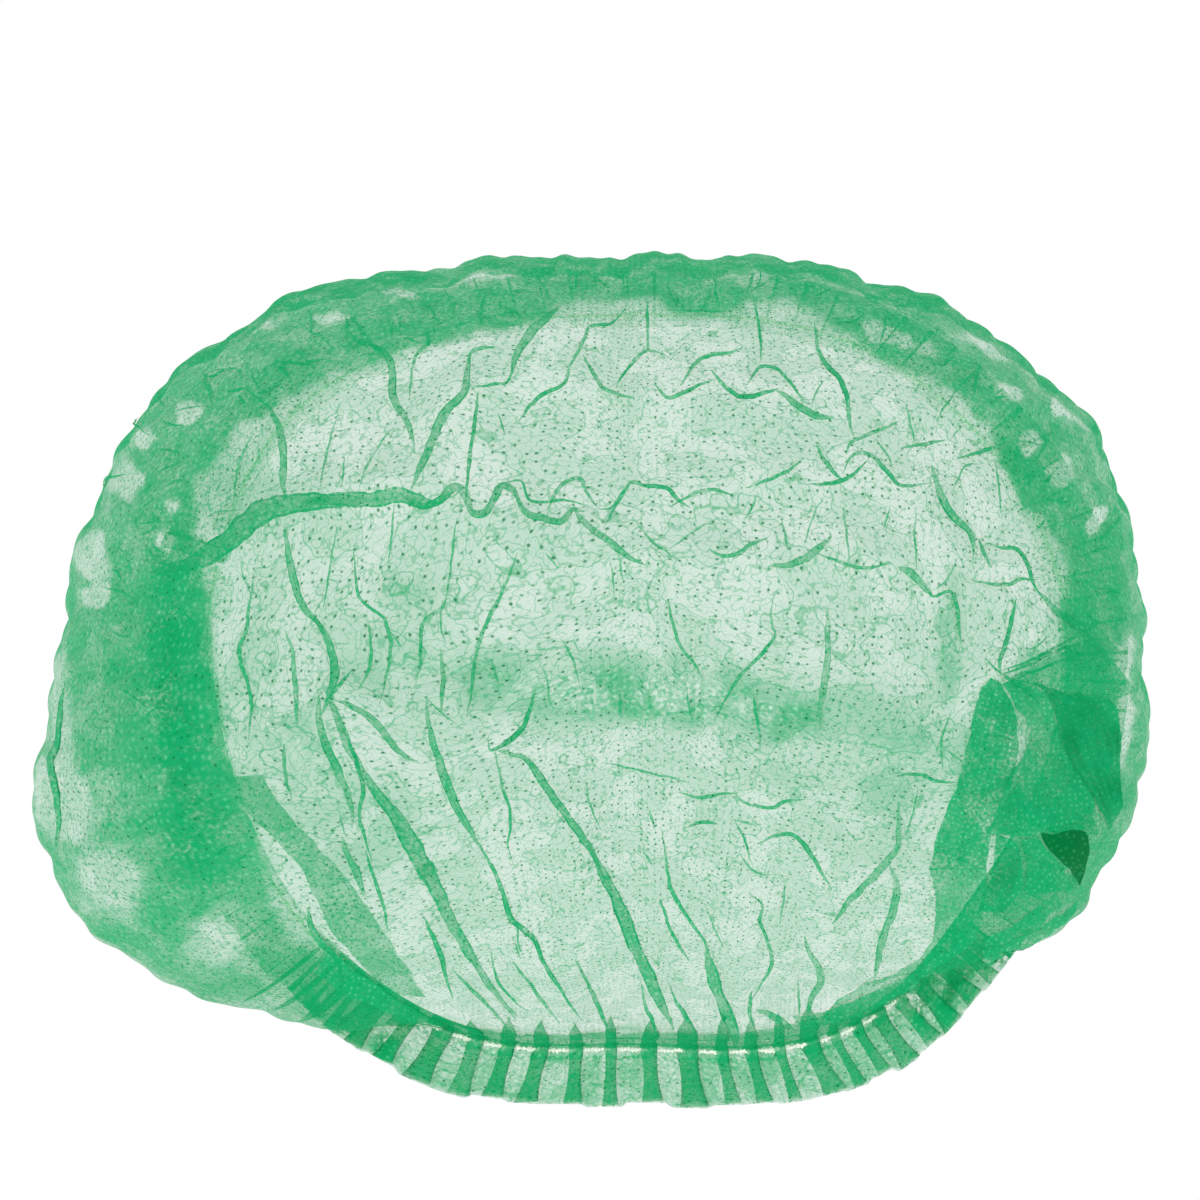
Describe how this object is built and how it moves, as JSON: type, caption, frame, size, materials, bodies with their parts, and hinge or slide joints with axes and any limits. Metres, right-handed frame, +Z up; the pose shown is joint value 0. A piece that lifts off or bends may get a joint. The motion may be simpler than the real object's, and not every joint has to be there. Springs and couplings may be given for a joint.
{
  "type": "disposable crimped bouffant cap",
  "caption": "Hollow puffed cap of thin green non-woven cloth, gathered by elastic thread round an open underside, with a pleated edge that lies flat on a surface.",
  "frame": {"origin": "middle of the cap's footprint, on the surface it lies on", "axes": "+Z up through the crown, -Y to the front, where the pleated edge shows, +X to the right as seen from the front"},
  "size_m": [0.2796, 0.2396, 0.093],
  "materials": {
    "green_nonwoven": "thin translucent spunbond",
    "white_elastic": "matte covered thread",
    "pressed_nonwoven": "pressed, slightly glossy"
  },
  "bodies": {
    "root": {"crown": "green_nonwoven", "front_ruffle": "green_nonwoven", "back_ruffle": "green_nonwoven", "front_elastic": "white_elastic", "back_elastic": "white_elastic", "left_end_weld": "pressed_nonwoven", "right_end_weld": "pressed_nonwoven"}
  },
  "joints": []
}
